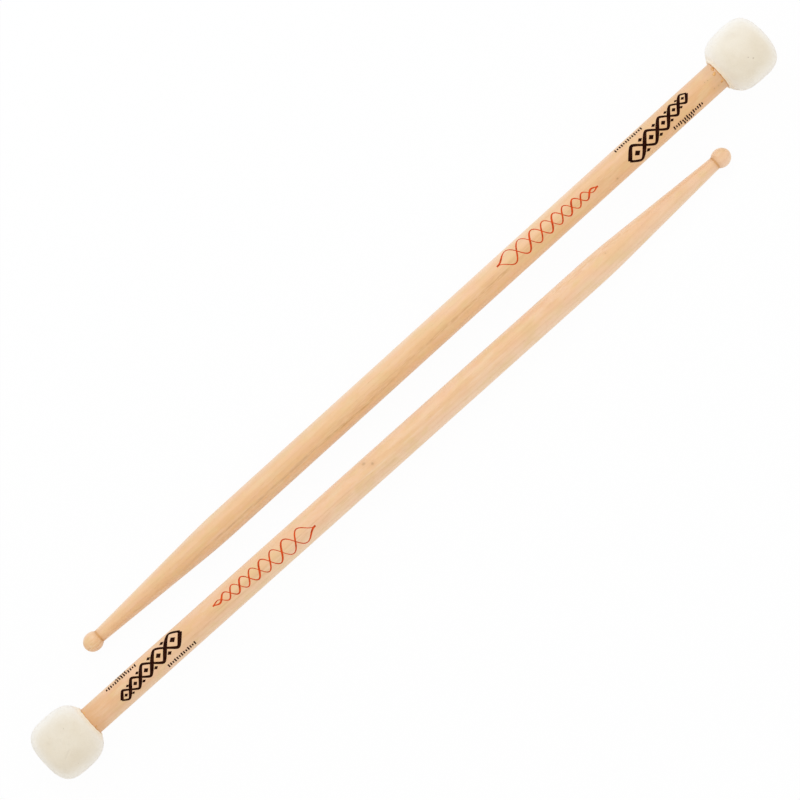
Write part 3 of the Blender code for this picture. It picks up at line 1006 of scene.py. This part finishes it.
# The bead of glue at the hem: how far its middle lies off the shaft and behind the edge, its least half
# height, what a lump adds, how much longer than high it is, its places, and how lumpy it is on each stick
FILLET_OUT = 0.10 * MM
FILLET_BEHIND = 0.06 * MM
FILLET_LEAST = 0.16 * MM
FILLET_LUMP = 0.11 * MM
FILLET_LONG = 1.15
FILLET_PLACES = (240, 10)
GLUE_PROUD = {1: 1.0, 2: 0.6}
# Its drops on the wood: turned so many degrees, then along, length, width and height in millimetres
GLUE_DROPS = {
    1: [
        (4, 389.3, 1.9, 1.4, 0.34),
        (25, 390.3, 1.4, 2.6, 0.24),
        (-38, 389.8, 1.4, 1.2, 0.28),
        (150, 389.6, 1.2, 1.6, 0.25),
    ],
    2: [
        (-36, 390.6, 0.9, 1.6, 0.20),
        (38, 390.4, 0.8, 0.9, 0.18),
        (-160, 389.8, 1.1, 1.3, 0.22),
    ],
}
# How far a drop's rim lies under the wood, and how many rings and places round it a drop has
DROP_SUNK = 0.02 * MM
DROP_PLACES = (7, 28)


def glue_fillet(stick):
    """The glue in the gap between hem and shaft: an oval bead that swells and shrinks unevenly round it."""
    turned, section = (round_turn(count) for count in FILLET_PLACES)
    middle = BUTT_DIAMETER / 2 + FILLET_OUT
    lumps = waves(stick.place(middle, turned, HEM_EDGE), 80 + stick.number, 1.2 * MM, 9.0 * MM, 40)
    size = FILLET_LEAST + FILLET_LUMP * GLUE_PROUD[stick.number] * np.clip(lumps + 0.4, 0, 2)
    out = middle + size[:, None] * np.cos(section)
    along = HEM_EDGE + FILLET_BEHIND + FILLET_LONG * size[:, None] * np.sin(section)
    return closed_loop(stick.place(out, turned[:, None], along))


def glue_drop(stick, degrees, *sizes):
    """A dried drop: a dome over an uneven oval, with its underside a little way into the wood."""
    turned = math.radians(degrees)
    along, length, width, height = (size * MM for size in sizes)
    rings, around = DROP_PLACES
    share = np.linspace(0, 1, rings + 1)[1:, None]
    round_it = round_turn(around)
    edge = 1 + 0.16 * np.sin(2 * round_it + along / MM) + 0.09 * np.sin(3 * round_it + 2 * turned)
    station = along + share * edge * np.cos(round_it) * length / 2
    arc = share * edge * np.sin(round_it) * width / 2
    radius = shaft_radius(station)
    out = radius + height * np.sqrt(1 - share ** 2) - DROP_SUNK
    dome = stick.place(out, turned + arc / radius, station)
    poles = stick.place(shaft_radius(along) + np.array([height, -FILM_ROOT]), turned, along)
    return closed_skin(dome, poles)


def make_glue(stick):
    """The dried glue where the cover meets the shaft: the bead in the gap and the drops on the wood."""
    skins = [glue_fillet(stick)] + [glue_drop(stick, *drop) for drop in GLUE_DROPS[stick.number]]
    piece("hem_glue", joined(skins), dried_glue(stick), stick)


# Nap

# How many fibres a head gets, how long they are, how far they stand off, how thick they are, and how high
# above the ground the lowest is
NAP_FIBRES = 6500
NAP_LENGTH = (0.25 * MM, 0.9 * MM)
NAP_HEIGHT = (0.05 * MM, 0.30 * MM)
NAP_THICK = 0.014 * MM
NAP_CLEAR = 1.0 * MM
# The places along a fibre, of which the last is its point, how deep its root goes as a share of its height,
# how far it curls, and how it thins
NAP_RUN = np.array([0.0, 0.35, 0.7, 1.0])
NAP_ROOT = 0.25
NAP_CURL = 0.35
NAP_THINNING = 0.45
NAP_SIDES = 3


def make_nap(stick):
    """Loose wool fibres on the felt. Each is a hair of three sides along an arc, from its root under the
    skin to its point, and each leans and curls its own way."""
    chance = np.random.default_rng(70 + stick.number)
    outline = outer_barrel(0.2 * MM)
    reach = np.linalg.norm(np.diff(outline, axis=0), axis=1) * outline[1:, 0]
    which = chance.choice(len(reach), NAP_FIBRES, p=reach / reach.sum())
    part = chance.random(NAP_FIBRES)[:, None]
    out, along = (outline[which] * (1 - part) + outline[which + 1] * part).T
    slope = unit(outline[which + 1] - outline[which])
    turned = chance.random(NAP_FIBRES) * 2 * math.pi
    root = felt_skin(stick, out, turned, along, 0.0, 1.0)
    outward = stick.place(-slope[:, 1], turned, slope[:, 0]) - stick.tip
    lean = unit(np.cross(outward, chance.normal(size=(NAP_FIBRES, 3))))
    across = np.cross(outward, lean)

    spans = (NAP_LENGTH, NAP_HEIGHT)
    length, height = (low + (high - low) * chance.random((NAP_FIBRES, 1)) ** 2 for low, high in spans)
    curl = chance.normal(size=(NAP_FIBRES, 1)) * NAP_CURL
    rise = height * ((1 + NAP_ROOT) * (1 - (1 - NAP_RUN) ** 2) - NAP_ROOT)
    forward = length * NAP_RUN
    swerve = curl * length * NAP_RUN ** 2
    spine = root[:, None] + rise[..., None] * outward[:, None]
    spine += forward[..., None] * lean[:, None] + swerve[..., None] * across[:, None]

    sides = round_turn(NAP_SIDES)[:, None]
    thick = NAP_THICK * (1 - NAP_THINNING * NAP_RUN[:-1])
    ring = np.cos(sides) * outward[:, None, None] + np.sin(sides) * across[:, None, None]
    hairs = spine[:, :-1, None] + thick[:, None, None] * ring
    points = np.concatenate([hairs.reshape(NAP_FIBRES, -1, 3), spine[:, -1:]], axis=1)
    points = points[points[..., 2].min(axis=1) > NAP_CLEAR]
    first = np.arange(len(points))[:, None, None] * points.shape[1]
    quads = first + round_faces(len(thick), NAP_SIDES)
    ends = first + np.array([[0, 2, 1], [6, 7, 9], [7, 8, 9], [8, 6, 9]])
    skin = (points.reshape(-1, 3), quads.reshape(-1, 4), ends.reshape(-1, 3))
    piece("felt_nap", skin, nap_wool(stick), stick)


# Room

FLOOR_REACH = 3.0
FLOOR_LEVEL = -0.05 * MM
# How much of the floor's light to the camera is plain white. The rest keeps the sticks' faint shadow
FLOOR_GLOW = 0.96
AMBIENT = 0.885
AMBIENT_TINT = (1.0, 0.981, 0.950, 1.0)
# Each lamp's azimuth and elevation in degrees, then its distance, size, power and colour
LAMPS = {
    "key": (74, 48, 0.98, 0.7, 1.85, (0.91, 1.0, 1.20)),
    "fill": (-45, 14, 1.1, 0.8, 0.6, (0.98, 1.0, 1.02)),
    "rim": (88, 14, 1.1, 0.8, 0.9, (0.25, 0.60, 1.0)),
}
# The camera, its angles in degrees, from the edges of both sticks and from how straight the felt's rims run
LENS = 144.0
CAMERA_DISTANCE = 1.4732
CAMERA_AZIMUTH = 257.42
CAMERA_ELEVATION = 80.78
CAMERA_ROLL = -41.824
CAMERA_TARGET = (-2.84 * MM, 2.92 * MM, 0.0)


def seen_rays(finish):
    """1 for rays from the camera, in a gloss or through something clear, and 0 for the light that falls."""
    names = ("Is Camera Ray", "Is Glossy Ray", "Is Transmission Ray")
    camera, gloss, clear = (finish.add("LightPath", {}, {}, name) for name in names)
    return camera.most(gloss).most(clear)


def make_floor():
    """A plain pale floor. To the camera it is near white, and it keeps the sticks' own faint shadow."""
    mesh = bpy.data.meshes.new("floor")
    signs = ((-1, -1), (1, -1), (1, 1), (-1, 1))
    corners = [(side * FLOOR_REACH, end * FLOOR_REACH, FLOOR_LEVEL) for side, end in signs]
    mesh.from_pydata(corners, [], [(0, 1, 2, 3)])
    floor = added("floor", mesh)
    pale = Finish("pale_floor", Base_Color=(0.9, 0.9, 0.9, 1.0), Roughness=0.9, Specular_IOR_Level=0.1)
    seen = seen_rays(pale)
    glow = pale.add("Emission", {}, {"Color": WHITE, "Strength": 1.0})
    body = Value(pale, pale.shader.outputs[0])
    both = pale.add("MixShader", {}, {0: seen * FLOOR_GLOW, 1: body, 2: glow})
    pale.put(pale.tree.nodes["Material Output"].inputs["Surface"], both)
    mesh.materials.append(pale.material)


class Air(Finish):
    """The world's own node tree, worked on as a finish is."""

    def __init__(self, world):
        world.use_nodes = True
        self.tree = world.node_tree


def direction(azimuth, elevation):
    """A vector one long towards an azimuth and an elevation, in degrees."""
    azimuth, elevation = math.radians(azimuth), math.radians(elevation)
    level = math.cos(elevation)
    return Vector((level * math.cos(azimuth), level * math.sin(azimuth), math.sin(elevation)))


def make_light():
    """A soft studio: an even white surround, a broad lamp high on the first stick's side, a weak cool
    one under it, and a weak one opposite."""
    world = bpy.data.worlds.new("studio")
    bpy.context.scene.world = world
    air = Air(world)
    surround = air.tree.nodes["Background"]
    seen = seen_rays(air)
    air.put(surround.inputs["Color"], air.mix(seen, AMBIENT_TINT, WHITE))
    air.put(surround.inputs["Strength"], AMBIENT + (1.0 - AMBIENT) * seen)

    for name, (azimuth, elevation, distance, size, power, colour) in LAMPS.items():
        lamp = bpy.data.lights.new(name, "AREA")
        lamp.shape = "DISK"
        lamp.size = size
        lamp.energy = power
        lamp.color = colour
        way = direction(azimuth, elevation)
        holder = added(name, lamp)
        holder.location = way * distance
        holder.rotation_euler = way.to_track_quat("Z", "Y").to_euler()


def make_camera():
    """The camera: it looks at its target from its azimuth and elevation, rolled about its line of sight."""
    camera = added("camera", bpy.data.cameras.new("camera"))
    camera.data.lens = LENS
    back = direction(CAMERA_AZIMUTH, CAMERA_ELEVATION)
    roll = math.radians(CAMERA_ROLL)
    up = Vector((-math.sin(roll), math.cos(roll), 0.0))
    up = (up - back * up.dot(back)).normalized()
    turn = Matrix([up.cross(back), up, back]).transposed().to_4x4()
    camera.matrix_world = Matrix.Translation(Vector(CAMERA_TARGET) + back * CAMERA_DISTANCE) @ turn
    bpy.context.scene.camera = camera


def finish_inside(stick):
    """The pieces inside the head keep their own solids, and take their real finish."""
    inner = {"head_core": turned_maple, "felt_liner": liner_felt, "draw_thread": waxed_thread}
    for node, finish in inner.items():
        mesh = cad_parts[f"{node}_{stick.number}"].data
        mesh.materials.clear()
        mesh.materials.append(finish(stick))


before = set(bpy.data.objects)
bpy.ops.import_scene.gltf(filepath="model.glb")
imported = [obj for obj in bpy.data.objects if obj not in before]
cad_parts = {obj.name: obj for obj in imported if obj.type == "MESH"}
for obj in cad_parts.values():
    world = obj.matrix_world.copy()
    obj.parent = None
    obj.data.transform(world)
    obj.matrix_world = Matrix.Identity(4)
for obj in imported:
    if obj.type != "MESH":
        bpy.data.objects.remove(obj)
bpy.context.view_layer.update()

bpy.context.scene.view_settings.view_transform = "Standard"
make_camera()
make_light()
make_floor()
for number in (1, 2):
    drumstick = Stick(number)
    make_shaft(drumstick)
    make_cover(drumstick)
    make_dark_band(drumstick)
    make_red_band(drumstick)
    make_glue(drumstick)
    make_nap(drumstick)
    finish_inside(drumstick)
